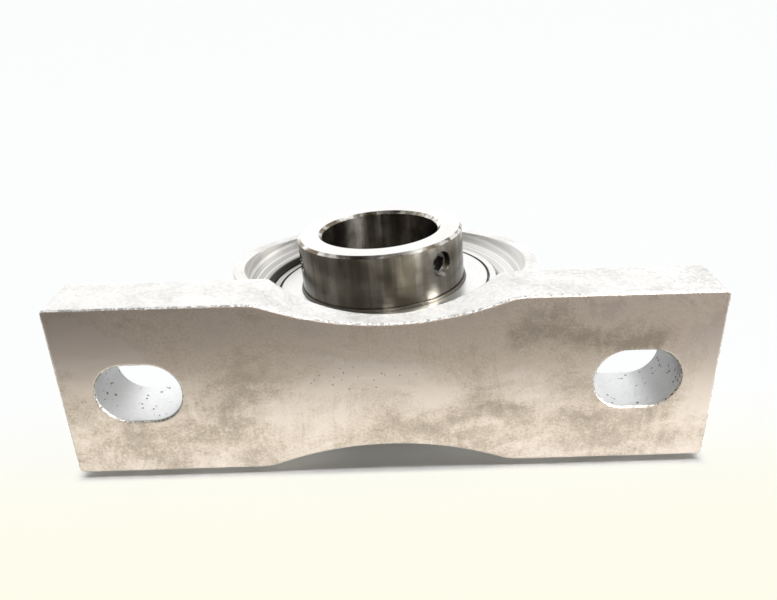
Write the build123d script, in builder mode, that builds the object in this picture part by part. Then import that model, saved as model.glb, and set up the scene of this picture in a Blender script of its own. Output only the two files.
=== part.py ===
from build123d import *
import os
from math import cos, radians, sin, sqrt, tan

# Pillow block bearing unit: a cast housing on a waisted base, with a self-aligning ball bearing insert.
# Millimetres, +Z up. The origin is on the mounting face, at the middle of the base. X runs along the base,
# and the shaft runs along Y. The set screws are on the -Y side. The insert is built round its own shaft
# line, which is swivelled a little in the spherical seat.

# ---- Insert: the bearing proper ----
BORE = 35.0
OUTER_DIAMETER = 72.0           # spherical outside of the outer ring
SCREW_SIDE_LENGTH = 25.4        # inner ring, from the seat's centre to its face on the set-screw side
PLAIN_SIDE_LENGTH = 17.5        # inner ring, the other way
BALL_DIAMETER = 11.112          # 7/16 inch
BALL_COUNT = 9
RACE_CONFORMITY = 0.52          # race groove radius over ball diameter
INNER_RACE_DEPTH = 3.5
OUTER_RACE_DEPTH = 2.8
RACE_CLEARANCE = 0.03           # between a ball and each race
BORE_CHAMFER = 0.9
RING_CHAMFER = 0.8
OUTER_CHAMFER = 0.6
FACE_WALL = 2.36                # outer ring's flat face, between the seal seat and the sphere
SEAT_CLEARANCE = 0.03           # spherical running fit in the housing
SWIVEL_ANGLE = 3.6              # how far the insert is swivelled from square
SWIVEL_LEAN = 34.0              # the swivel line, measured from the vertical in the ring's plane

# Cage
CAGE_THICKNESS = 0.9
POCKET_CLEARANCE = 0.3
CAGE_RING_GAP = 0.9             # radial gap from the cage to each ring
RIVET_RADIUS = 0.7
RIVET_HEAD_RADIUS = 1.2
RIVET_HEAD_HEIGHT = 0.5
PRESS_GAP = 0.02                # left between pressed pieces

# Seals and flingers
SEAL_GAP = 0.35                 # cage to seal
SHIELD_THICKNESS = 0.55
SHIELD_RIM = 0.6
LIP_WIDTH = 2.6
LIP_CLEARANCE = 0.05            # running fit on the inner ring
FLINGER_GAP = 0.5               # seal to flinger
FLINGER_THICKNESS = 0.85
FLINGER_EDGE_GAP = 0.4          # flinger to outer ring
COLLAR_WALL = 0.45
COLLAR_HEIGHT = 0.9

# Set screws, drawn at the mean radius of their thread
SCREW_RADIUS = 3.65
SCREW_LENGTH = 5.7
SCREW_RECESS = 1.3
SCREW_INSET = 6.4               # ring face to screw centre
SCREW_CLEARANCE = 0.05
SCREW_CHAMFER = 0.5
SCREW_ANGLES = (44.0, -76.0)    # from straight down, towards +X
SOCKET_FLATS = 4.0
SOCKET_DEPTH = 2.6
CUP_RADIUS = 2.0
CUP_DEPTH = 0.8
CUP_TAPER = 45.0

# ---- Housing ----
FOOT_LEDGE = 4.36               # top of a foot, from the ring wall out to the base's side
FOOT_THICKNESS = 17.0
CORNER_ROUND = 1.2
CAST_EDGE = 2.0
EDGE_BREAK = 0.4
WAIST_WIDTH = 36.0
WAIST_RADIUS = 84.0
WAIST_BLEND = 15.0
SLOT_GAP = 4.0715               # from where the ring's blend ends on the foot to the slot
SLOT_WIDTH = 16.5
SLOT_LENGTH = 22.0
END_WALL = 9.0                  # from the slot to the base's end
SEAT_FLOOR = 11.6               # metal between the seat and the mounting face
SEAT_STEP = 2.0                 # the seat is this much narrower than the outer ring, each side
SEAT_LEAD_IN = 1.0
SHOULDER_WIDTH = 2.0
SHOULDER_RISE = 0.5
DISH_WIDTH = 1.7
DISH_RISE = 0.9
MOUTH_WIDTH = 1.0
MOUTH_RISE = 2.0
MOUTH_FLARE = 11.0              # flare of the opening's wall
RIM_WALL = 4.4                  # ring wall round the mouth
WALL_MARGIN = 10.6              # the mouth's rise end to the ring wall's side, at the mounting face
WALL_LEAN = 7.1                 # lean of each side of the ring wall
WALL_BLEND = 2.0
FLANK_BLEND = 8.0
LOADING_CLEARANCE = 0.3

# Grease way and fitting
LUBE_OFFSET = 5.4               # behind the seat's centre plane
LUBE_GROOVE_WIDTH = 1.6
LUBE_GROOVE_DEPTH = 0.6
LUBE_HOLE_RADIUS = 0.8
GREASE_HOLE_RADIUS = 1.5
BOSS_RADIUS = 4.9
BOSS_HEIGHT = 0.8
THREAD_RADIUS = 3.0
THREAD_LENGTH = 5.5
THREAD_CLEARANCE = 0.03
FITTING_FLATS = 7.0
FITTING_HEX_HEIGHT = 3.0
FITTING_NECK_RADIUS = 2.25
FITTING_HEAD_RADIUS = 3.25
FITTING_HEAD_START = 6.2        # heights above the boss
FITTING_HEAD_FULL = 7.2
FITTING_HEAD_END = 8.0
FITTING_HEIGHT = 9.6
NOSE_RADIUS = 1.6
MOUTH_HOLE_RADIUS = 0.9
MOUTH_HOLE_DEPTH = 0.8
CHAMBER_RADIUS = 1.4
CHAMBER_FLOOR = 2.5
OUTLET_RADIUS = 0.8
CHECK_BALL_RADIUS = 1.2
CHECK_CLEARANCE = 0.03          # check ball to its seat and to its spring
SPRING_WIRE = 0.3
WIRE_SIDES = 6                  # the wire is so fine that its section is drawn as a hexagon
SPRING_RADIUS = 0.95
SPRING_TURNS = 4

# ---- Sizes that follow ----
ball_radius = BALL_DIAMETER / 2
pitch_radius = (BORE + OUTER_DIAMETER) / 4
race_radius = BALL_DIAMETER * RACE_CONFORMITY
inner_race = pitch_radius - ball_radius - RACE_CLEARANCE
outer_race = pitch_radius + ball_radius + RACE_CLEARANCE
inner_land = inner_race + INNER_RACE_DEPTH
outer_land = outer_race - OUTER_RACE_DEPTH
sphere_radius = OUTER_DIAMETER / 2

pocket_inner = ball_radius + POCKET_CLEARANCE
pocket_outer = pocket_inner + CAGE_THICKNESS
seal_start = pocket_outer + SEAL_GAP
seal_end = seal_start + SHIELD_THICKNESS
flinger_start = seal_end + FLINGER_GAP
half_width = flinger_start + FLINGER_THICKNESS        # half the outer ring's width
seal_shoulder = seal_start - SHIELD_RIM
face_radius = sqrt(sphere_radius**2 - half_width**2)
seal_seat = face_radius - FACE_WALL

seat_radius = sphere_radius + SEAT_CLEARANCE
seat_half = half_width - SEAT_STEP
shaft_height = sphere_radius + SEAT_FLOOR
shoulder_start = seat_half + SEAT_LEAD_IN
seat_edge = sqrt(seat_radius**2 - seat_half**2)
shoulder_radius = seat_edge + SEAT_LEAD_IN
dish_start = shoulder_start + SHOULDER_RISE
dish_radius = shoulder_radius + SHOULDER_WIDTH
mouth_start = dish_start + DISH_RISE
mouth_radius = dish_radius + DISH_WIDTH
flare_start = mouth_start + MOUTH_RISE
flare_radius = mouth_radius + MOUTH_WIDTH
ring_radius = flare_radius + RIM_WALL
wall_half = flare_start + WALL_MARGIN
boss_top = shaft_height + ring_radius + BOSS_HEIGHT
blend_reach = sqrt((ring_radius + FLANK_BLEND)**2 - (shaft_height - FOOT_THICKNESS - FLANK_BLEND)**2)
slot_spacing = 2 * (blend_reach + SLOT_GAP) + SLOT_LENGTH
base_length = slot_spacing + SLOT_LENGTH + 2 * END_WALL

outer_groove_half = sqrt(race_radius**2 - (race_radius - OUTER_RACE_DEPTH)**2)
chamfer_radius = sqrt(sphere_radius**2 - (half_width - OUTER_CHAMFER)**2)
lube_radius = sqrt(sphere_radius**2 - LUBE_OFFSET**2)
cage_inner = inner_land + CAGE_RING_GAP
cage_outer = outer_land - CAGE_RING_GAP
lip_outer = inner_land + LIP_CLEARANCE + LIP_WIDTH
chamber_top = FITTING_HEIGHT - MOUTH_HOLE_DEPTH
check_ball_height = chamber_top - sqrt((CHECK_BALL_RADIUS + CHECK_CLEARANCE)**2 - MOUTH_HOLE_RADIUS**2)
spring_top = check_ball_height - sqrt((CHECK_BALL_RADIUS + SPRING_WIRE / 2)**2 - SPRING_RADIUS**2)
spring_length = spring_top - CHAMBER_FLOOR - SPRING_WIRE / 2 - CHECK_CLEARANCE


def side_at(height):
    """Half the ring wall's thickness at a height above the mounting face."""
    return wall_half - height * tan(radians(WALL_LEAN))


base_width = 2 * (side_at(FOOT_THICKNESS) + FOOT_LEDGE)


# ---- Planes and lines ----
# The seat looks out of the housing towards the set screws. Its x is straight down.
seat = Plane(origin=(0, 0, shaft_height), x_dir=(0, 0, -1), z_dir=(0, -1, 0))
seat_section = Plane(origin=seat.origin, x_dir=seat.x_dir, z_dir=-seat.y_dir)
seat_axis = Axis(seat.origin, seat.z_dir)
# The shaft's plane is the seat's, swivelled about a leaning line through the seat's centre.
swivel_line = Axis(seat.origin, (sin(radians(SWIVEL_LEAN)), 0, cos(radians(SWIVEL_LEAN))))
shaft = Plane(
    origin=seat.origin,
    x_dir=seat.x_dir.rotate(swivel_line, -SWIVEL_ANGLE),
    z_dir=seat.z_dir.rotate(swivel_line, -SWIVEL_ANGLE),
)
section = Plane(origin=shaft.origin, x_dir=shaft.x_dir, z_dir=-shaft.y_dir)
shaft_axis = Axis(shaft.origin, shaft.z_dir)
shaft_back = Plane(origin=shaft.origin, x_dir=shaft.x_dir, z_dir=-shaft.z_dir)
back_section = Plane(origin=shaft.origin, x_dir=shaft.x_dir, z_dir=shaft.y_dir)
fitting_base = Plane(origin=(0, LUBE_OFFSET, boss_top), z_dir=(0, 0, 1))
fitting_section = Plane(origin=fitting_base.origin, x_dir=(1, 0, 0), z_dir=(0, -1, 0))
fitting_axis = Axis(fitting_base.origin, fitting_base.z_dir)


def across(angle, height):
    """A plane on the shaft line that looks out across it, at an angle from straight down."""
    outwards = shaft.x_dir.rotate(shaft_axis, angle)
    return Plane(origin=shaft.offset(height).origin, x_dir=shaft.z_dir, z_dir=outwards)


def finish(part, name):
    """Labels a finished piece and writes it."""
    part.label = name
    export_step(part, f"parts/{name}.step")


os.makedirs("parts", exist_ok=True)

# ---- Housing: the common body of three outlines, then the machining ----
with BuildSketch() as footprint:
    Rectangle(base_length, base_width)
    with Locations((0, WAIST_WIDTH / 2 + WAIST_RADIUS), (0, -WAIST_WIDTH / 2 - WAIST_RADIUS)):
        Circle(WAIST_RADIUS, mode=Mode.SUBTRACT)
    fillet(footprint.vertices().filter_by(lambda v: abs(v.X) < base_length / 4), WAIST_BLEND)

with BuildPart() as housing:
    # Seen along the shaft: the feet, and the ring that stands on them.
    with BuildSketch(Plane.XZ) as front:
        with Locations((0, FOOT_THICKNESS / 2)):
            Rectangle(base_length, FOOT_THICKNESS)
        with Locations((0, shaft_height)):
            Circle(ring_radius)
        with Locations((0, -base_length / 2)):
            Rectangle(base_length, base_length, mode=Mode.SUBTRACT)
        inner_corners = front.vertices().filter_by(
            lambda v: abs(v.Y - FOOT_THICKNESS) < EDGE_BREAK and abs(v.X) < ring_radius
        )
        fillet(inner_corners, FLANK_BLEND)
    extrude(amount=base_width / 2, both=True)
    # Seen along the base: the feet, and the ring wall's leaning sides.
    ring_top = shaft_height + ring_radius
    with BuildSketch(Plane.YZ) as side:
        with BuildLine():
            Polyline(
                (0, 0),
                (base_width / 2, 0),
                (base_width / 2, FOOT_THICKNESS),
                (side_at(FOOT_THICKNESS), FOOT_THICKNESS),
                (side_at(ring_top), ring_top),
                (0, ring_top),
                close=True,
            )
        make_face()
        fillet(side.vertices().sort_by_distance((base_width / 2, FOOT_THICKNESS))[0], CAST_EDGE)
        fillet(side.vertices().sort_by_distance((side_at(FOOT_THICKNESS), FOOT_THICKNESS))[0], WALL_BLEND)
        mirror(about=Plane.YZ)
    extrude(amount=base_length, both=True, mode=Mode.INTERSECT)
    # Seen from above: the waisted footprint.
    add(extrude(footprint.sketch, amount=ring_top, mode=Mode.PRIVATE), mode=Mode.INTERSECT)
    # The feet's rounded ends
    ends = housing.faces().sort_by(Axis.X)[0].edges() + housing.faces().sort_by(Axis.X)[-1].edges()
    fillet(ends.filter_by(lambda e: e.center().Z > 0), CORNER_ROUND)
    # Grease boss
    with BuildSketch(Plane.XY.offset(shaft_height + seat_radius)):
        with Locations((0, LUBE_OFFSET)):
            Circle(BOSS_RADIUS)
    extrude(amount=boss_top - shaft_height - seat_radius)
    # The seat and its stepped, flared mouths
    flare_length = base_width / 2
    flare_end = flare_radius + flare_length * tan(radians(MOUTH_FLARE))
    with BuildSketch(seat_section):
        with BuildLine():
            Line((0, 0), (seat_radius, 0))
            RadiusArc((seat_radius, 0), (seat_edge, seat_half), -seat_radius)
            Polyline(
                (seat_edge, seat_half),
                (shoulder_radius, shoulder_start),
                (dish_radius, dish_start),
                (mouth_radius, mouth_start),
                (flare_radius, flare_start),
                (flare_end, flare_start + flare_length),
                (0, flare_start + flare_length),
                (0, 0),
            )
        make_face()
        mirror(about=Plane.XZ)
    revolve(axis=seat_axis, mode=Mode.SUBTRACT)
    # Two loading slots behind the seat, where the insert goes in edge first
    with BuildSketch(seat):
        Rectangle(2 * (half_width + LOADING_CLEARANCE), 2 * (seat_radius + LOADING_CLEARANCE))
    extrude(amount=-shoulder_start, mode=Mode.SUBTRACT)
    # Bolt slots
    with BuildSketch(Plane.XY):
        with GridLocations(slot_spacing, 0, 2, 1):
            SlotOverall(SLOT_LENGTH, SLOT_WIDTH)
    extrude(amount=FOOT_THICKNESS, mode=Mode.SUBTRACT)
    level_faces = housing.faces().filter_by(Plane.XY)
    foot_tops = level_faces.filter_by_position(Axis.Z, EDGE_BREAK, FOOT_THICKNESS + EDGE_BREAK)
    chamfer([edge for top in foot_tops for rim in top.inner_wires() for edge in rim.edges()], EDGE_BREAK)
    chamfer(housing.edges().group_by(Axis.Z)[0], EDGE_BREAK)
    # Grease way: a threaded hole, drilled on into the seat
    with BuildSketch(fitting_base):
        Circle(THREAD_RADIUS + THREAD_CLEARANCE)
    extrude(amount=-THREAD_LENGTH - EDGE_BREAK, mode=Mode.SUBTRACT)
    with BuildSketch(fitting_base):
        Circle(GREASE_HOLE_RADIUS)
    extrude(amount=shaft_height - boss_top, mode=Mode.SUBTRACT)
finish(housing.part, "housing")

# ---- Outer ring ----
with BuildPart() as outer_ring:
    with BuildSketch(section):
        with BuildLine():
            RadiusArc((outer_race, 0), (outer_land, outer_groove_half), -race_radius)
            Polyline(
                (outer_land, outer_groove_half),
                (outer_land, seal_shoulder),
                (seal_seat, seal_shoulder),
                (seal_seat, half_width),
                (face_radius - OUTER_CHAMFER, half_width),
                (chamfer_radius, half_width - OUTER_CHAMFER),
            )
            RadiusArc((chamfer_radius, half_width - OUTER_CHAMFER), (sphere_radius, 0), sphere_radius)
            Line((sphere_radius, 0), (outer_race, 0))
        make_face()
        mirror(about=Plane.XZ)
    revolve(axis=shaft_axis)
    # Grease groove round the sphere, with a hole through to the balls
    with BuildSketch(section):
        with Locations((sphere_radius, -LUBE_OFFSET)):
            Rectangle(2 * (LUBE_GROOVE_DEPTH + sphere_radius - lube_radius), LUBE_GROOVE_WIDTH)
    revolve(axis=shaft_axis, mode=Mode.SUBTRACT)
    with BuildSketch(across(180, -LUBE_OFFSET)):
        Circle(LUBE_HOLE_RADIUS)
    extrude(amount=sphere_radius, mode=Mode.SUBTRACT)
finish(outer_ring.part, "outer_ring")

# ---- Inner ring ----
with BuildPart() as inner_ring:
    with BuildSketch(section) as profile:
        with Locations(((BORE / 2 + inner_land) / 2, (SCREW_SIDE_LENGTH - PLAIN_SIDE_LENGTH) / 2)):
            Rectangle(inner_land - BORE / 2, SCREW_SIDE_LENGTH + PLAIN_SIDE_LENGTH)
        chamfer(profile.vertices().group_by(Axis.X)[0], BORE_CHAMFER)
        chamfer(profile.vertices().group_by(Axis.X)[-1], RING_CHAMFER)
        with Locations((inner_race + race_radius, 0)):
            Circle(race_radius, mode=Mode.SUBTRACT)
    revolve(axis=shaft_axis)
    for angle in SCREW_ANGLES:
        with BuildSketch(across(angle, SCREW_SIDE_LENGTH - SCREW_INSET)):
            Circle(SCREW_RADIUS + SCREW_CLEARANCE)
        extrude(amount=sphere_radius, mode=Mode.SUBTRACT)
finish(inner_ring.part, "inner_ring")

# ---- Set screws: hexagon socket, cup point ----
for number, angle in enumerate(SCREW_ANGLES, start=1):
    screw_top = across(angle, SCREW_SIDE_LENGTH - SCREW_INSET).offset(inner_land - SCREW_RECESS)
    with BuildPart() as set_screw:
        with BuildSketch(screw_top):
            Circle(SCREW_RADIUS)
        extrude(amount=-SCREW_LENGTH)
        chamfer(set_screw.edges().filter_by(GeomType.CIRCLE), SCREW_CHAMFER)
        with BuildSketch(screw_top):
            RegularPolygon(SOCKET_FLATS / 2, 6, major_radius=False)
        extrude(amount=-SOCKET_DEPTH, mode=Mode.SUBTRACT)
        with BuildSketch(screw_top.offset(-SCREW_LENGTH)):
            Circle(CUP_RADIUS)
        extrude(amount=CUP_DEPTH, taper=CUP_TAPER, mode=Mode.SUBTRACT)
    finish(set_screw.part, f"set_screw_{number}")

# ---- Balls ----
for number in range(BALL_COUNT):
    with BuildPart(across(number * 360 / BALL_COUNT, 0).offset(pitch_radius)) as ball:
        Sphere(ball_radius)
    finish(ball.part, f"ball_{number + 1}")

# ---- Cage: two pressed halves back to back, riveted between the balls ----
for name, half in (("cage_front", shaft), ("cage_back", shaft_back)):
    with BuildPart(half) as cage:
        with BuildSketch(half):
            Circle(cage_outer)
        extrude(amount=CAGE_THICKNESS)
        with PolarLocations(pitch_radius, BALL_COUNT):
            Sphere(pocket_outer, rotation=(0, 90, 0))
            Sphere(pocket_inner, rotation=(0, 90, 0), mode=Mode.SUBTRACT)
        with BuildSketch(half):
            Circle(cage_outer)
            Circle(cage_inner, mode=Mode.SUBTRACT)
        extrude(amount=pocket_outer, mode=Mode.INTERSECT)
        with BuildSketch(half):
            with PolarLocations(pitch_radius, BALL_COUNT, start_angle=180 / BALL_COUNT):
                Circle(RIVET_RADIUS + PRESS_GAP)
        extrude(amount=CAGE_THICKNESS, mode=Mode.SUBTRACT)
    finish(cage.part, name)

with BuildPart() as cage_rivets:
    with BuildSketch(shaft):
        with PolarLocations(pitch_radius, BALL_COUNT, start_angle=180 / BALL_COUNT):
            Circle(RIVET_RADIUS)
    extrude(amount=CAGE_THICKNESS + RIVET_HEAD_HEIGHT, both=True)
    for head_base in (CAGE_THICKNESS, -CAGE_THICKNESS - RIVET_HEAD_HEIGHT):
        with BuildSketch(shaft.offset(head_base)):
            with PolarLocations(pitch_radius, BALL_COUNT, start_angle=180 / BALL_COUNT):
                Circle(RIVET_HEAD_RADIUS)
        extrude(amount=RIVET_HEAD_HEIGHT)
finish(cage_rivets.part, "cage_rivets")

# ---- Seals, each a steel shield with a rubber lip, and the flingers outside them ----
for end, side_plane in (("front", section), ("back", back_section)):
    with BuildPart() as shield:
        with BuildSketch(side_plane):
            with BuildLine():
                Polyline(
                    (lip_outer + PRESS_GAP, seal_start),
                    (seal_seat - SHIELD_THICKNESS, seal_start),
                    (seal_seat - SHIELD_THICKNESS, seal_shoulder),
                    (seal_seat - PRESS_GAP, seal_shoulder),
                    (seal_seat - PRESS_GAP, seal_end),
                    (lip_outer + PRESS_GAP, seal_end),
                    close=True,
                )
            make_face()
        revolve(axis=shaft_axis)
    finish(shield.part, f"seal_shield_{end}")
    with BuildPart() as lip:
        with BuildSketch(side_plane):
            with Locations((lip_outer - LIP_WIDTH / 2, (seal_start + seal_end) / 2)):
                Rectangle(LIP_WIDTH, SHIELD_THICKNESS)
        revolve(axis=shaft_axis)
    finish(lip.part, f"seal_lip_{end}")
    with BuildPart() as flinger:
        with BuildSketch(side_plane):
            with BuildLine():
                Polyline(
                    (inner_land + PRESS_GAP, flinger_start),
                    (seal_seat - FLINGER_EDGE_GAP, flinger_start),
                    (seal_seat - FLINGER_EDGE_GAP, half_width),
                    (inner_land + COLLAR_WALL, half_width),
                    (inner_land + COLLAR_WALL, half_width + COLLAR_HEIGHT),
                    (inner_land + PRESS_GAP, half_width + COLLAR_HEIGHT),
                    close=True,
                )
            make_face()
        revolve(axis=shaft_axis)
    finish(flinger.part, f"flinger_{end}")

# ---- Grease fitting, with its check ball and spring ----
with BuildPart() as grease_fitting:
    with BuildSketch(fitting_section):
        with BuildLine():
            Polyline(
                (0, -THREAD_LENGTH),
                (THREAD_RADIUS, -THREAD_LENGTH),
                (THREAD_RADIUS, 0),
                (FITTING_NECK_RADIUS, 0),
                (FITTING_NECK_RADIUS, FITTING_HEAD_START),
                (FITTING_HEAD_RADIUS, FITTING_HEAD_FULL),
                (FITTING_HEAD_RADIUS, FITTING_HEAD_END),
                (NOSE_RADIUS, FITTING_HEIGHT),
                (0, FITTING_HEIGHT),
                close=True,
            )
        make_face()
    revolve(axis=fitting_axis)
    with BuildSketch(fitting_base):
        RegularPolygon(FITTING_FLATS / 2, 6, major_radius=False)
    extrude(amount=FITTING_HEX_HEIGHT)
    with BuildSketch(fitting_section):
        with BuildLine():
            Polyline(
                (0, -THREAD_LENGTH),
                (OUTLET_RADIUS, -THREAD_LENGTH),
                (OUTLET_RADIUS, CHAMBER_FLOOR),
                (CHAMBER_RADIUS, CHAMBER_FLOOR),
                (CHAMBER_RADIUS, chamber_top),
                (MOUTH_HOLE_RADIUS, chamber_top),
                (MOUTH_HOLE_RADIUS, FITTING_HEIGHT),
                (0, FITTING_HEIGHT),
                close=True,
            )
        make_face()
    revolve(axis=fitting_axis, mode=Mode.SUBTRACT)
finish(grease_fitting.part, "grease_fitting")

with BuildPart(fitting_base.offset(check_ball_height)) as check_ball:
    Sphere(CHECK_BALL_RADIUS)
finish(check_ball.part, "grease_check_ball")

with BuildPart() as check_spring:
    with BuildLine() as coil:
        Helix(
            pitch=spring_length / SPRING_TURNS,
            height=spring_length,
            radius=SPRING_RADIUS,
            center=fitting_base.from_local_coords((0, 0, CHAMBER_FLOOR + SPRING_WIRE / 2)),
        )
    with BuildSketch(coil.line ^ 0):
        RegularPolygon(SPRING_WIRE / 2, WIRE_SIDES)
    sweep(is_frenet=True)
finish(check_spring.part, "grease_check_spring")
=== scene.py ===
"""Looks for the pillow block bearing: its materials, the table it lies on, the light and the camera."""
from math import cos, pi, radians, sin

import bpy
from mathutils import Matrix, Vector

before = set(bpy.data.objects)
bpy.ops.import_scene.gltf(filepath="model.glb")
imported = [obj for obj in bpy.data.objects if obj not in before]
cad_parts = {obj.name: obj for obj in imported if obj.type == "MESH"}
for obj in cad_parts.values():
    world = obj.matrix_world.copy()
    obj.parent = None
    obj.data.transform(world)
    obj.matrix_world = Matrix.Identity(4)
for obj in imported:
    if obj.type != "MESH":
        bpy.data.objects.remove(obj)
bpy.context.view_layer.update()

# ---- What the scene repeats from the CAD, in metres ----
SEAT_CENTRE = (0.0, 0.0, 0.0476)
SHAFT = (-0.0520557, -0.9980267, 0.035112)      # out of the bore on the set screws' side
SEAT_LINE = (0.0, -1.0, 0.0)

# ---- The photograph's camera ----
CAMERA_PLACE = (0.00118, -0.09795, -0.15508)
CAMERA_YAW = -0.12
CAMERA_PITCH = 25.38
CAMERA_ROLL = 1.83
FOCAL_PIXELS = 716.0
FRAME_WIDTH = 777
SENSOR = 36.0

# ---- The table, which the unit lies on with its back ----
TABLE_LEAN = 6.2
TABLE_HEIGHT = 0.02575
TABLE_NEAR = -0.053             # where the white sheet on the table ends, towards the camera
TABLE_FAR = 1.2
TABLE_HALF = 0.9

# The shadow kept on the table under the unit, in millimetres
UNDER_HALF = 81.0               # to each side
UNDER_FRONT = -0.2              # towards the camera
UNDER_BACK = 24.0               # away from it
OPEN_FROM = 100.0               # from here on only the camera sees the table

SHEET_GLOW = 0.96               # how much of the clear sheet's colour is plain glow
SHEET_MIRRORED = 0.22           # the least of that glow which mirrored rays meet under the unit
FLOOR_HALF = 2.0
FLOOR_DROP = 0.0003             # the floor lies this far under the base


class Tree:
    """A node tree, with a short method for each kind of node used here."""

    def __init__(self, owner):
        owner.use_nodes = True
        self.tree = owner.node_tree
        self.tree.nodes.clear()

    def node(self, kind, inputs, **settings):
        made = self.tree.nodes.new("ShaderNode" + kind)
        for key, value in settings.items():
            setattr(made, key, value)
        for key, value in inputs.items():
            if isinstance(value, bpy.types.NodeSocket):
                self.tree.links.new(value, made.inputs[key])
            else:
                made.inputs[key].default_value = value
        return made

    def math(self, operation, *values):
        return self.node("Math", dict(enumerate(values)), operation=operation).outputs[0]

    def vector(self, operation, *values):
        made = self.node("VectorMath", dict(enumerate(values)), operation=operation)
        return made.outputs["Value" if operation in ("DOT_PRODUCT", "LENGTH") else "Vector"]

    def scaled(self, vector, scale):
        return self.node("VectorMath", {"Vector": vector, "Scale": scale}, operation="SCALE").outputs[0]

    def split(self, vector):
        return self.node("SeparateXYZ", {0: vector}).outputs

    def joined(self, x, y, z):
        return self.node("CombineXYZ", {0: x, 1: y, 2: z}).outputs[0]

    def between(self, value, low, high, to_low=0.0, to_high=1.0):
        """A smooth step from to_low, where value is at low, to to_high, where it is at high."""
        inputs = {0: value, 1: low, 2: high, 3: to_low, 4: to_high}
        return self.node("MapRange", inputs, interpolation_type="SMOOTHSTEP").outputs[0]

    def noise(self, vector, scale, detail=4.0, roughness=0.5, distortion=0.0):
        inputs = {"Vector": vector, "Scale": scale, "Detail": detail, "Roughness": roughness,
                  "Distortion": distortion}
        return self.node("TexNoise", inputs).outputs[0]

    def warped(self, vector, scale, reach):
        """The vector, pushed about by a slow noise by up to about half of reach."""
        inputs = {"Vector": vector, "Scale": scale, "Detail": 2.0}
        push = self.node("TexNoise", inputs).outputs[1]
        centred = self.vector("SUBTRACT", push, (0.5, 0.5, 0.5))
        return self.vector("ADD", vector, self.scaled(centred, reach))

    def cells(self, vector, scale):
        """The distance to the nearest of a scatter of points."""
        return self.node("TexVoronoi", {"Vector": vector, "Scale": scale}).outputs[0]

    def mix(self, factor, a, b, blend="MIX"):
        """From colour a, where factor is 0, to colour b."""
        made = self.node("Mix", {0: factor, 6: a, 7: b}, data_type="RGBA", blend_type=blend)
        return made.outputs[2]

    def blend(self, factor, a, b):
        """From number a, where factor is 0, to number b."""
        return self.node("Mix", {0: factor, 2: a, 3: b}, data_type="FLOAT").outputs[0]

    def ramp(self, factor, stops):
        """Stops are (place, colour), in order."""
        made = self.node("ValToRGB", {0: factor})
        elements = made.color_ramp.elements
        for element, (place, colour) in zip(elements, (stops[0], stops[-1])):
            element.position, element.color = place, colour
        for place, colour in stops[1:-1]:
            elements.new(place).color = colour
        return made.outputs[0]

    def bump(self, height, distance, normal=None):
        inputs = {"Height": height, "Distance": distance, "Strength": 1.0}
        if normal:
            inputs["Normal"] = normal
        return self.node("Bump", inputs).outputs[0]

    def place(self):
        """The point on the piece, in millimetres of the row frame at rest."""
        return self.scaled(self.node("TexCoord", {}).outputs["Object"], 1000.0)

    def facing(self):
        """The surface's direction, in the piece's own frame."""
        return self.node("TexCoord", {}).outputs["Normal"]

    def edge_light(self, radius):
        """The surface's direction, rounded near sharp edges."""
        return self.node("Bevel", {"Radius": radius}, samples=6).outputs[0]

    def finish(self, **inputs):
        """The one metal or plastic shader of a material, joined to its output."""
        named = {key.replace("_", " ").title(): value for key, value in inputs.items()}
        if "Ior" in named:
            named["IOR"] = named.pop("Ior")
        shader = self.node("BsdfPrincipled", named)
        self.node("OutputMaterial", {"Surface": shader.outputs[0]})


def grey(value, warmth=0.0):
    """A grey, browner as warmth grows and bluer below 0."""
    return (value, value * (1 - 0.45 * warmth), value * (1 - warmth), 1.0)


def new_material(name):
    material = bpy.data.materials.new(name)
    return material, Tree(material)


def round_frame(t, centre, axis):
    """A point's height along a line, its distance from it, and the direction round it, in millimetres."""
    place = t.vector("SUBTRACT", t.place(), tuple(1000 * c for c in centre))
    height = t.vector("DOT_PRODUCT", place, axis)
    across = t.vector("SUBTRACT", place, t.scaled(axis, height))
    around = t.vector("NORMALIZE", t.vector("CROSS_PRODUCT", axis, across))
    world = t.node("VectorTransform", {0: around}, vector_type="VECTOR",
                   convert_from="OBJECT", convert_to="WORLD").outputs[0]
    return height, t.vector("LENGTH", across), across, world


def turned_lines(t, height, radius, across, pitch):
    """Lathe marks: fine lines that run nearly unbroken round the axis."""
    slow = t.scaled(across, 0.02)
    line = t.joined(t.math("DIVIDE", height, pitch), t.math("DIVIDE", radius, pitch), 0.0)
    return t.noise(t.vector("ADD", line, slow), 1.0, detail=3.0, roughness=0.6)


# ---- Housing, in millimetres ----
GROUND_BELOW = 0.03                     # the ground face lies below this height
CRUMBLED_BELOW = 0.65                   # the cast edge is crumbled below this height
SLOT_MIDDLE = 63.5
SLOT_REACH = 11.5                       # past the middle of a slot, along it
SLOT_SIDE = 8.75                        # and across it
MOUTH_RADIUS = 43.6                     # the turned mouths lie inside this radius
STEP_RADII = (38.3, 40.0, 41.0)         # their turned steps
JOINT_RADIUS = 36.2                     # where the seat meets the outer ring
WALL_TILT = 0.9                         # an upright wall's direction has less height than this
INWARD_TILT = -0.19                     # a turned face's direction is less outward than this
PIT_FIELD = (-8.0, -3.0, 0.0)           # the middle of the field of pits on the ground face

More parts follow.
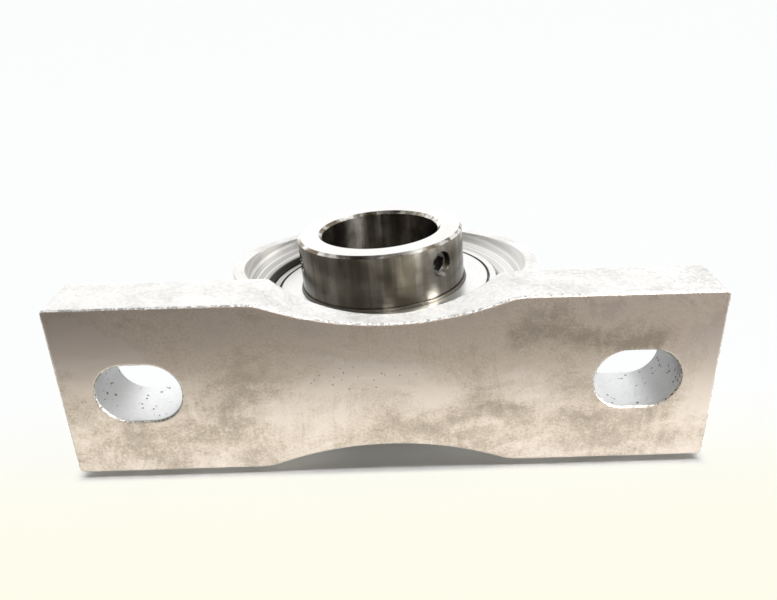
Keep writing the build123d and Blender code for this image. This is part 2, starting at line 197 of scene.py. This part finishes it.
# Patches where the ground face is painted brighter or duller, partly its own cloudy tone and partly painted
# reflection of the room: middle x and y, reach in x and y, and gain
GROUND_TONE_AND_REFLECTION = (
    (-12.0, 5.0, 32.0, 15.0, 0.24),
    (0.0, -2.0, 24.0, 9.0, 0.48),
    (-21.0, -8.0, 16.0, 8.0, 0.12),
    (36.0, 2.0, 20.0, 16.0, 0.14),
    (80.0, 0.0, 15.0, 34.0, 0.44),
    (-72.0, -10.0, 14.0, 14.0, 0.72),
    (-80.0, 2.0, 12.0, 22.0, 0.12),
    (-42.0, 2.0, 18.0, 18.0, -0.12),
    (-38.0, 15.0, 22.0, 9.0, -0.14),
    (3.0, 13.0, 22.0, 5.0, -0.22),
    (24.0, 9.0, 14.0, 10.0, -0.24),
    (62.0, 12.0, 16.0, 10.0, -0.14),
    (43.0, -13.0, 28.0, 10.0, -0.46),
    (63.0, -16.0, 20.0, 10.0, -0.44),
    (-10.0, -21.0, 75.0, 9.0, -0.14),
)


def housing_steel():
    material, t = new_material("housing_steel")
    place = t.place()
    x, y, z = t.split(place)
    facing = t.facing()
    tilt = t.split(facing)[2]
    ax, ay = t.math("ABSOLUTE", x), t.math("ABSOLUTE", y)

    # Which surface this is
    bottom = t.math("LESS_THAN", z, GROUND_BELOW)
    height, radius, across, around = round_frame(t, SEAT_CENTRE, SEAT_LINE)
    outward = t.vector("NORMALIZE", across)
    inward = t.math("LESS_THAN", t.vector("DOT_PRODUCT", facing, outward), INWARD_TILT)
    turned = t.math("MULTIPLY", t.math("LESS_THAN", radius, MOUTH_RADIUS), inward)
    along_slot = t.math("LESS_THAN", t.math("ABSOLUTE", t.math("SUBTRACT", ax, SLOT_MIDDLE)), SLOT_REACH)
    in_slot = t.math("MULTIPLY", along_slot, t.math("LESS_THAN", ay, SLOT_SIDE))
    upright = t.math("LESS_THAN", t.math("ABSOLUTE", tilt), WALL_TILT)
    slot = t.math("MULTIPLY", in_slot, upright)

    # The ground mounting face: smeared clouds, grinding arcs, fine grain, and a few pits
    swirl = t.warped(place, 0.03, 45.0)
    clouds = t.noise(swirl, 0.045, detail=6.0, roughness=0.62)
    stretched = t.vector("MULTIPLY", t.warped(place, 0.018, 60.0), (0.35, 1.0, 1.0))
    smears = t.noise(stretched, 0.13, detail=5.0, roughness=0.6, distortion=0.6)
    fine = t.noise(place, 1.4, detail=4.0, roughness=0.7)
    mottle = t.noise(t.warped(place, 0.10, 6.0), 0.34, detail=4.0, roughness=0.7, distortion=0.4)
    centre = t.vector("SUBTRACT", t.warped(place, 0.05, 8.0), (-112.0, 6.0, 0.0))
    arcs = t.noise(t.joined(t.vector("LENGTH", centre), 0.0, 0.0), 0.55, detail=3.0, roughness=0.65)
    arc_zone = t.between(t.noise(place, 0.05, detail=1.0), 0.42, 0.62)
    arc_light = t.math("MULTIPLY", t.math("SUBTRACT", arcs, 0.5), arc_zone)
    ground = t.math("ADD", t.math("MULTIPLY", clouds, 0.50), t.math("MULTIPLY", smears, 0.50))
    ground = t.math("ADD", ground, t.math("MULTIPLY", arc_light, 0.36))
    ground = t.math("ADD", ground, t.math("MULTIPLY", t.math("SUBTRACT", fine, 0.5), 0.52))
    ground = t.math("ADD", ground, t.math("MULTIPLY", t.math("SUBTRACT", mottle, 0.5), 0.38))
    ground = t.math("ADD", t.math("MULTIPLY", t.math("SUBTRACT", ground, 0.5), 1.7), 0.5)
    # Brighter and duller patches, partly painted reflection of the room
    for middle_x, middle_y, reach_x, reach_y, gain in GROUND_TONE_AND_REFLECTION:
        offset = t.vector("SUBTRACT", swirl, (middle_x, middle_y, 0.0))
        offset = t.vector("MULTIPLY", offset, (1 / reach_x, 1 / reach_y, 0.0))
        ground = t.math("ADD", ground, t.between(t.vector("LENGTH", offset), 0.0, 1.0, gain, 0.0))
    ground_colour = t.ramp(ground, [
        (0.02, (0.42, 0.363, 0.309, 1.0)),
        (0.38, (0.66, 0.574, 0.508, 1.0)),
        (0.55, (0.84, 0.738, 0.675, 1.0)),
        (0.80, (1.0, 0.892, 0.855, 1.0)),
    ])
    from_pits = t.vector("MULTIPLY", t.vector("SUBTRACT", place, PIT_FIELD), (0.042, 0.15, 0.0))
    pit_zone = t.between(t.vector("LENGTH", from_pits), 0.3, 1.0, 1.0, 0.0)
    pit_size = t.math("ADD", t.math("MULTIPLY", pit_zone, 0.14), 0.03)
    pits = t.math("LESS_THAN", t.cells(t.warped(place, 1.2, 0.9), 0.60), pit_size)
    ground_colour = t.mix(t.math("MULTIPLY", pits, 0.6), ground_colour, (0.16, 0.14, 0.12, 1.0))
    ground_rough = t.between(ground, 0.3, 0.7, 0.46, 0.36)

    # The cast and blasted outside
    skin = t.noise(place, 0.9, detail=6.0, roughness=0.65)
    patches = t.noise(t.warped(place, 0.04, 20.0), 0.09, detail=4.0)
    cast_colour = t.ramp(t.math("ADD", t.math("MULTIPLY", skin, 0.5), t.math("MULTIPLY", patches, 0.5)), [
        (0.36, (0.72, 0.71, 0.685, 1.0)),
        (0.49, (0.86, 0.853, 0.835, 1.0)),
        (0.60, (0.95, 0.945, 0.93, 1.0)),
    ])
    cast_pits = t.math("LESS_THAN", t.cells(place, 0.5), 0.10)
    cast_colour = t.mix(t.math("MULTIPLY", cast_pits, 0.45), cast_colour, (0.20, 0.19, 0.18, 1.0))
    crumbs = t.between(t.noise(place, 1.3, detail=3.0), 0.46, 0.56)
    crumbs = t.math("MULTIPLY", crumbs, t.between(z, CRUMBLED_BELOW, 0.15))
    cast_colour = t.mix(t.math("MULTIPLY", crumbs, 0.6), cast_colour, (0.14, 0.125, 0.105, 1.0))
    cast_rough = t.between(skin, 0.3, 0.7, 0.42, 0.58)

    # Slot walls: cored, pale, painted darker towards the outer ends as painted shade, with black pits
    speckle = t.math("LESS_THAN", t.cells(t.warped(place, 1.0, 0.8), 0.75),
                     t.between(t.noise(place, 0.25), 0.45, 0.65, 0.02, 0.28))
    slot_colour = t.mix(skin, (0.84, 0.85, 0.85, 1.0), (1.0, 1.0, 1.0, 1.0))
    # Painted shade: the slot walls darker towards their outer ends
    left_end_shade = t.between(x, -65.0, -74.0, 0.0, 0.62)
    right_end_shade = t.between(x, 64.0, 72.0, 0.0, 0.88)
    slot_colour = t.mix(t.math("MAXIMUM", left_end_shade, right_end_shade), slot_colour, grey(0.28))
    slot_colour = t.mix(t.math("MULTIPLY", speckle, 0.9), slot_colour, grey(0.05))
    edge_colour = t.mix(crumbs, (0.62, 0.58, 0.52, 1.0), (0.12, 0.10, 0.08, 1.0))
    slot_colour = t.mix(t.between(z, 0.9, 0.3, 0.0, 0.7), slot_colour, edge_colour)

    # The turned mouths: painted lighter at the right as painted light, a painted glint on each step, and a
    # painted shade in the gap at the lower left of the joint
    lines = turned_lines(t, height, radius, across, 0.30)
    turned_colour = t.mix(t.between(lines, 0.35, 0.65), (0.50, 0.485, 0.455, 1.0), (0.86, 0.84, 0.81, 1.0))
    # Painted light: the mouth's walls lighter towards the right
    right_light = t.between(t.vector("DOT_PRODUCT", outward, (1.0, 0.0, 0.0)), 0.2, 0.9, 0.0, 0.55)
    turned_colour = t.mix(right_light, turned_colour, (0.95, 0.945, 0.93, 1.0))
    for step in STEP_RADII:
        glint = t.between(t.math("ABSOLUTE", t.math("SUBTRACT", radius, step)), 0.22, 0.08)
        turned_colour = t.mix(glint, turned_colour, (1.0, 1.0, 0.98, 1.0))
    # Painted shade in the gap where the seat meets the outer ring, dark at the lower left only
    gap_shade_side = t.between(t.vector("DOT_PRODUCT", outward, (-0.80, 0.0, 0.60)), 0.1, 0.8)
    gap_shade = t.math("MULTIPLY", t.between(radius, JOINT_RADIUS + 1.2, JOINT_RADIUS + 0.3), gap_shade_side)
    turned_colour = t.mix(gap_shade, turned_colour, (0.03, 0.03, 0.025, 1.0))

    colour = t.mix(bottom, cast_colour, ground_colour)
    colour = t.mix(slot, colour, slot_colour)
    colour = t.mix(turned, colour, turned_colour)
    rough = t.blend(bottom, cast_rough, ground_rough)
    rough = t.blend(slot, rough, 0.38)
    rough = t.blend(turned, rough, 0.36)

    cast_height = t.math("SUBTRACT", skin, t.math("MULTIPLY", cast_pits, 0.6))
    ground_height = t.math("ADD", t.math("MULTIPLY", smears, 0.5), t.math("MULTIPLY", fine, 0.12))
    ground_height = t.math("SUBTRACT", ground_height, t.math("MULTIPLY", pits, 0.5))
    relief = t.blend(bottom, cast_height, t.math("MULTIPLY", ground_height, 0.35))
    relief = t.blend(turned, relief, t.math("MULTIPLY", lines, 0.05))
    normal = t.bump(relief, 0.00035, normal=t.edge_light(0.0006))
    t.finish(base_color=colour, metallic=1.0, roughness=rough, anisotropic=t.math("MULTIPLY", turned, 0.9),
             anisotropic_rotation=0.25, tangent=around, normal=normal)
    return material


# ---- Turned and pressed steel of the insert, in millimetres ----
FLINGER_RADIUS = 32.09          # the flinger's rim, which holds dark grease
COLLAR_RADIUS = 25.15           # outside of its short collar, where it meets the inner ring
BORE_RADIUS = 19.0              # just outside the bore, whose walls take no shade
RIM_GREASE = (0.02, 0.02, 0.018, 1.0)
COLLAR_LINE = (0.15, 0.138, 0.115, 1.0)


def pressed_sheet(name, low, high, roughness, relief, rim=None):
    """Sheet steel pressed round the shaft's line: low and high are its darkest and brightest tone, and rim is
    the radius of an edge that holds dark grease."""
    material, t = new_material(name)
    height, radius, across, around = round_frame(t, SEAT_CENTRE, SHAFT)
    lines = turned_lines(t, height, radius, across, 0.6)
    stains = t.noise(t.warped(t.place(), 0.08, 12.0), 0.22, detail=5.0, roughness=0.6)
    tone = t.math("ADD", t.math("MULTIPLY", lines, 0.6), t.math("MULTIPLY", stains, 0.4))
    colour = t.mix(t.between(tone, 0.32, 0.68), low, high)
    rough = t.between(t.math("ADD", t.math("MULTIPLY", lines, 0.5), t.math("MULTIPLY", stains, 0.5)),
                      0.3, 0.7, roughness, roughness * 1.4)
    waves = t.math("MULTIPLY", t.noise(t.place(), 0.16, detail=1.0), 1.5)
    if rim:
        colour = t.mix(t.between(radius, rim - 0.55, rim - 0.30), colour, RIM_GREASE)
        collar = t.between(radius, COLLAR_RADIUS + 0.30, COLLAR_RADIUS + 0.05)
        colour = t.mix(collar, colour, COLLAR_LINE)
    normal = t.bump(t.math("ADD", lines, waves), relief, normal=t.edge_light(0.0003))
    t.finish(base_color=colour, metallic=1.0, roughness=rough, anisotropic=0.4,
             anisotropic_rotation=0.25, tangent=around, normal=normal)
    return material


def ground_steel():
    """Bearing rings: ground round the shaft's line, with streaks of reflected light along it painted in,
    sides painted dark as painted shade and end faces painted bright as painted light, and with chamfers that
    are burnt here and there."""
    material, t = new_material("bearing_steel")
    height, radius, across, around = round_frame(t, SEAT_CENTRE, SHAFT)
    lines = turned_lines(t, height, radius, across, 0.12)
    stains = t.noise(t.warped(t.place(), 0.10, 2.5), 0.20, detail=4.0, roughness=0.55)
    parts = t.split(across)
    turn = t.math("ARCTAN2", parts[0], parts[2])
    along = t.joined(t.math("MULTIPLY", turn, 7.0), t.math("MULTIPLY", height, 0.015), radius)
    # Painted reflection: upright streaks of light and dark round the ring's sides
    light_streaks = t.noise(along, 1.0, detail=5.0, roughness=0.62)
    tone = t.math("ADD", t.math("MULTIPLY", lines, 0.15), t.math("MULTIPLY", stains, 0.25))
    side_tone = t.between(t.math("ADD", tone, t.math("MULTIPLY", light_streaks, 0.60)), 0.38, 0.62)
    # Painted shade: the sides are given a much darker steel than the end faces
    shaded_side_colour = t.mix(side_tone, (0.155, 0.14, 0.112, 1.0), (0.36, 0.34, 0.30, 1.0))
    outside = t.between(radius, BORE_RADIUS, BORE_RADIUS + 2.0)
    shade = t.math("MULTIPLY", t.between(height, 10.0, 21.0, 0.5, 0.0), outside)
    shaded_side_colour = t.mix(shade, shaded_side_colour, (0.07, 0.062, 0.048, 1.0))
    # Painted light: the end faces are given a near-white steel
    lit_end_colour = t.mix(t.between(tone, 0.13, 0.27), (0.84, 0.83, 0.81, 1.0), (0.93, 0.92, 0.90, 1.0))
    towards = t.math("ABSOLUTE", t.vector("DOT_PRODUCT", t.facing(), SHAFT))
    end = t.between(towards, 0.80, 0.90)
    chamfer = t.math("MULTIPLY", t.between(towards, 0.30, 0.50), t.between(towards, 0.90, 0.80))
    burns = t.between(t.noise(t.warped(t.place(), 0.2, 3.0), 0.20, detail=4.0), 0.42, 0.60)
    chamfer_colour = t.mix(burns, (0.22, 0.18, 0.125, 1.0), (0.92, 0.90, 0.86, 1.0))
    colour = t.mix(chamfer, t.mix(end, shaded_side_colour, lit_end_colour), chamfer_colour)
    t.finish(base_color=colour, metallic=1.0, roughness=t.between(stains, 0.3, 0.7, 0.175, 0.215),
             anisotropic=0.9, anisotropic_rotation=0.25, tangent=around, normal=t.bump(lines, 0.000002))
    return material


def polished_steel():
    """Lapped balls: bright, with faint stains and a few hair scratches."""
    material, t = new_material("ball_steel")
    place = t.place()
    stains = t.noise(t.warped(place, 0.2, 6.0), 0.4, detail=3.0)
    scratch = t.noise(t.vector("MULTIPLY", place, (9.0, 1.2, 2.0)), 1.0, detail=2.0)
    colour = t.mix(stains, (0.74, 0.74, 0.75, 1.0), (0.90, 0.90, 0.90, 1.0))
    t.finish(base_color=colour, metallic=1.0, roughness=t.between(scratch, 0.35, 0.7, 0.05, 0.16),
             normal=t.bump(scratch, 0.000004))
    return material


def plain_metal(name, dark, light, roughness, grain, relief):
    """Small parts: a mottled metal, grain in millimetres."""
    material, t = new_material(name)
    place = t.place()
    mottle = t.noise(place, 1.0 / grain, detail=5.0, roughness=0.6)
    stains = t.noise(t.warped(place, 0.3, 3.0), 0.35, detail=3.0)
    tone = t.math("ADD", t.math("MULTIPLY", mottle, 0.5), t.math("MULTIPLY", stains, 0.5))
    colour = t.mix(t.between(tone, 0.3, 0.7), dark, light)
    rough = t.between(mottle, 0.3, 0.7, roughness, roughness * 1.6)
    t.finish(base_color=colour, metallic=1.0, roughness=rough,
             normal=t.bump(mottle, relief, normal=t.edge_light(0.00015)))
    return material


def seal_rubber():
    """Black rubber with a faint bloom."""
    material, t = new_material("seal_rubber")
    place = t.place()
    grain = t.noise(place, 3.0, detail=4.0)
    bloom = t.noise(t.warped(place, 0.1, 10.0), 0.2, detail=4.0)
    colour = t.mix(t.between(bloom, 0.35, 0.7), (0.016, 0.015, 0.015, 1.0), (0.045, 0.043, 0.042, 1.0))
    t.finish(base_color=colour, roughness=t.between(grain, 0.3, 0.7, 0.42, 0.62),
             normal=t.bump(grain, 0.00003))
    return material


ring_steel = ground_steel()
pressed_steel = pressed_sheet("pressed_steel", (0.82, 0.815, 0.80, 1.0), (0.92, 0.915, 0.90, 1.0),
                              roughness=0.30, relief=0.000006)
flinger_steel = pressed_sheet("flinger_steel", (0.86, 0.855, 0.84, 1.0), (0.96, 0.955, 0.94, 1.0),
                              roughness=0.28, relief=0.000004, rim=FLINGER_RADIUS)
cage_steel = plain_metal("cage_steel", (0.48, 0.46, 0.43, 1.0), (0.74, 0.72, 0.69, 1.0),
                         roughness=0.28, grain=0.8, relief=0.00003)
rivet_steel = plain_metal("rivet_steel", (0.44, 0.43, 0.42, 1.0), (0.72, 0.71, 0.70, 1.0),
                          roughness=0.29, grain=0.35, relief=0.00003)
screw_steel = plain_metal("screw_steel", (0.06, 0.057, 0.055, 1.0), (0.34, 0.33, 0.31, 1.0),
                          roughness=0.14, grain=0.5, relief=0.00002)
fitting_steel = plain_metal("fitting_steel", (0.60, 0.58, 0.52, 1.0), (0.84, 0.82, 0.76, 1.0),
                            roughness=0.28, grain=0.6, relief=0.00002)
spring_steel = plain_metal("spring_steel", (0.45, 0.44, 0.43, 1.0), (0.74, 0.73, 0.72, 1.0),
                           roughness=0.28, grain=0.3, relief=0.00001)
housing_finish = housing_steel()
ball_finish = polished_steel()
rubber_finish = seal_rubber()

# The first entry that a node's name starts with is its finish
FINISHES = {
    "housing": housing_finish,
    "outer_ring": ring_steel,
    "inner_ring": ring_steel,
    "flinger": flinger_steel,
    "seal_shield": pressed_steel,
    "seal_lip": rubber_finish,
    "cage_rivets": rivet_steel,
    "cage": cage_steel,
    "set_screw": screw_steel,
    "grease_fitting": fitting_steel,
    "grease_check_ball": ball_finish,
    "grease_check_spring": spring_steel,
    "ball": ball_finish,
}
for name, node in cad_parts.items():
    finish = next(look for start, look in FINISHES.items() if name.startswith(start))
    node.data.materials.clear()
    node.data.materials.append(finish)


# ---- Table and floor ----
def table_card():
    """White sheet: its shadow stays under the unit, clear of it the sheet is plain white, and its back is
    unseen."""
    material, t = new_material("table_card")
    path = t.node("LightPath", {})
    geometry = t.node("NewGeometry", {})
    x, _, z = t.split(t.scaled(geometry.outputs["Position"], 1000.0))
    beside = t.between(t.math("ABSOLUTE", x), UNDER_HALF, UNDER_HALF + 5.0)
    before = t.between(z, UNDER_FRONT, UNDER_FRONT - 2.0)
    behind = t.between(z, UNDER_BACK, UNDER_BACK + 10.0)
    clear = t.math("MAXIMUM", beside, t.math("MAXIMUM", before, behind))
    mirrored = t.math("MULTIPLY", path.outputs["Is Glossy Ray"], t.math("MAXIMUM", clear, SHEET_MIRRORED))
    plain = t.math("MAXIMUM", t.math("MULTIPLY", path.outputs["Is Camera Ray"], clear), mirrored)
    shown = t.mix(t.between(z, -30.0, 40.0), (1.0, 0.985, 0.845, 1.0), (0.985, 1.0, 1.0, 1.0))
    card = t.node("BsdfDiffuse", {"Color": (0.94, 0.94, 0.94, 1.0)})
    glow = t.node("Emission", {"Color": shown, "Strength": 1.0})
    share = t.math("MULTIPLY", plain, SHEET_GLOW)
    lit = t.node("MixShader", {0: share, 1: card.outputs[0], 2: glow.outputs[0]})
    unseen = t.math("SUBTRACT", 1.0, path.outputs["Is Camera Ray"])
    passed = t.math("MULTIPLY", unseen, t.math("GREATER_THAN", z, OPEN_FROM))
    gone = t.node("BsdfTransparent", {})
    hidden = t.math("MAXIMUM", geometry.outputs["Backfacing"], passed)
    surface = t.node("MixShader", {0: hidden, 1: lit.outputs[0], 2: gone.outputs[0]})
    t.node("OutputMaterial", {"Surface": surface.outputs[0]})
    return material


def floor_card():
    """The floor under the base, which shows from the other sides: its shadow fades out into plain white."""
    material, t = new_material("floor_card")
    geometry = t.node("NewGeometry", {})
    away = t.vector("LENGTH", t.scaled(geometry.outputs["Position"], 1000.0))
    card = t.node("BsdfDiffuse", {"Color": (0.92, 0.92, 0.92, 1.0)})
    glow = t.node("Emission", {"Color": (1.0, 1.0, 1.0, 1.0), "Strength": 1.0})
    share = t.between(away, 95.0, 230.0, 0.35, 1.0)
    lit = t.node("MixShader", {0: share, 1: card.outputs[0], 2: glow.outputs[0]})
    gone = t.node("BsdfTransparent", {})
    surface = t.node("MixShader", {0: geometry.outputs["Backfacing"], 1: lit.outputs[0], 2: gone.outputs[0]})
    t.node("OutputMaterial", {"Surface": surface.outputs[0]})
    return material


def card(name, corners, material):
    """A flat four-cornered sheet that belongs to the stage."""
    mesh = bpy.data.meshes.new(name)
    mesh.from_pydata(corners, [], [(0, 1, 2, 3)])
    sheet = bpy.data.objects.new(name, mesh)
    bpy.context.collection.objects.link(sheet)
    mesh.materials.append(material)
    return sheet


def table_point(x, z):
    """The point of the table's top at x and z."""
    normal = Matrix.Rotation(radians(TABLE_LEAN), 3, "X") @ Vector((0.0, -1.0, 0.0))
    return (x, (TABLE_HEIGHT + normal.z * z) / -normal.y, z)


card("stage_table", [
    table_point(-TABLE_HALF, TABLE_NEAR),
    table_point(TABLE_HALF, TABLE_NEAR),
    table_point(TABLE_HALF, TABLE_FAR),
    table_point(-TABLE_HALF, TABLE_FAR),
], table_card())
floor = card("stage_floor", [
    (-FLOOR_HALF, -FLOOR_HALF, -FLOOR_DROP),
    (FLOOR_HALF, -FLOOR_HALF, -FLOOR_DROP),
    (FLOOR_HALF, FLOOR_HALF, -FLOOR_DROP),
    (-FLOOR_HALF, FLOOR_HALF, -FLOOR_DROP),
], floor_card())
for ray in ("diffuse", "glossy", "transmission", "volume_scatter", "shadow"):
    setattr(floor, "visible_" + ray, False)


# ---- Light ----
STRIP_AIM = (0.0, 0.0, 0.03)


def room():
    """White round the unit, and towards the camera a dim brown room with upright bands of light, whose places
    are degrees to the side of the camera."""
    world = bpy.data.worlds.new("room")
    bpy.context.scene.world = world
    t = Tree(world)
    x, _, z = t.split(t.node("TexCoord", {}).outputs["Generated"])
    turn = t.math("ARCTAN2", x, t.math("MULTIPLY", z, -1.0))
    bands = t.ramp(t.node("MapRange", {0: turn, 1: radians(-180), 2: radians(180)}).outputs[0], [
        ((degrees + 180) / 360, colour) for degrees, colour in (
            (-180, grey(1.15)),
            (-150, grey(1.20)),
            (-125, grey(1.10)),
            (-108, grey(0.80)),
            (-84, grey(0.30, 0.10)),
            (-72, grey(0.06, 0.20)),
            (-52, grey(0.02, 0.20)),
            (-35, grey(0.02, 0.20)),
            (-30, grey(0.08, 0.25)),
            (-12, grey(0.10, 0.28)),
            (2.5, grey(0.08, 0.28)),
            (20, grey(0.10, 0.35)),
            (44, grey(0.12, 0.35)),
            (69, grey(0.22, 0.10)),
            (104, grey(0.70)),
            (112, grey(0.85)),
            (150, grey(0.90)),
            (180, grey(1.15)),
        )
    ])
    fine = t.noise(t.joined(t.math("MULTIPLY", turn, 5.0), 0.0, 0.0), 1.0, detail=3.0, roughness=0.7)
    light_streaks = t.blend(t.between(z, 0.1, -0.1), 1.0, t.between(fine, 0.35, 0.70, 0.35, 2.2))
    light = t.mix(1.0, bands, t.joined(light_streaks, light_streaks, light_streaks), blend="MULTIPLY")
    seen = t.node("LightPath", {}).outputs["Is Camera Ray"]
    shown = t.mix(seen, light, (1.0, 1.0, 1.0, 1.0))
    background = t.node("Background", {"Color": shown, "Strength": 1.0})
    t.node("OutputWorld", {"Surface": background.outputs[0]})


def softbox(name, place, aim, width, height, radiance):
    """An area lamp that the camera doesn't see."""
    lamp = bpy.data.lights.new(name, "AREA")
    lamp.shape = "RECTANGLE"
    lamp.size, lamp.size_y = width, height
    lamp.energy = radiance * pi * width * height
    box = bpy.data.objects.new(name, lamp)
    box.location = place
    box.rotation_euler = (Vector(aim) - Vector(place)).to_track_quat("-Z", "Y").to_euler()
    box.visible_camera = False
    bpy.context.collection.objects.link(box)
    return box


def strip_light(name, turn, lift, width, height, radiance):
    """An upright strip of light, one metre off, that only metal picks up: turn is its side of the camera and
    lift its height, in degrees."""
    flat = cos(radians(lift))
    place = (sin(radians(turn)) * flat, -sin(radians(lift)), -cos(radians(turn)) * flat)
    strip = softbox(name, place, STRIP_AIM, width, height, radiance)
    strip.visible_diffuse = False


room()
strip_light("window", turn=56.0, lift=28.0, width=0.11, height=0.8, radiance=90.0)
strip_light("door", turn=3.0, lift=32.0, width=0.03, height=0.8, radiance=36.0)
overhead = softbox("overhead", place=(0.06, -0.95, -0.05), aim=(0.0, 0.0, 0.02), width=0.80, height=0.10,
                   radiance=15.0)
overhead.visible_glossy = False


# ---- Camera ----
lens = bpy.data.cameras.new("photo_camera")
lens.sensor_width = SENSOR
lens.lens = FOCAL_PIXELS * SENSOR / FRAME_WIDTH
lens.clip_start, lens.clip_end = 0.005, 10.0
camera = bpy.data.objects.new("photo_camera", lens)
camera.matrix_world = (
    Matrix.Translation(CAMERA_PLACE)
    @ Matrix.Rotation(radians(180), 4, "X")
    @ Matrix.Rotation(radians(-CAMERA_YAW), 4, "Y")
    @ Matrix.Rotation(radians(-CAMERA_PITCH), 4, "X")
    @ Matrix.Rotation(radians(-CAMERA_ROLL), 4, "Z")
)
bpy.context.collection.objects.link(camera)
bpy.context.scene.camera = camera
bpy.context.scene.view_settings.view_transform = "Standard"
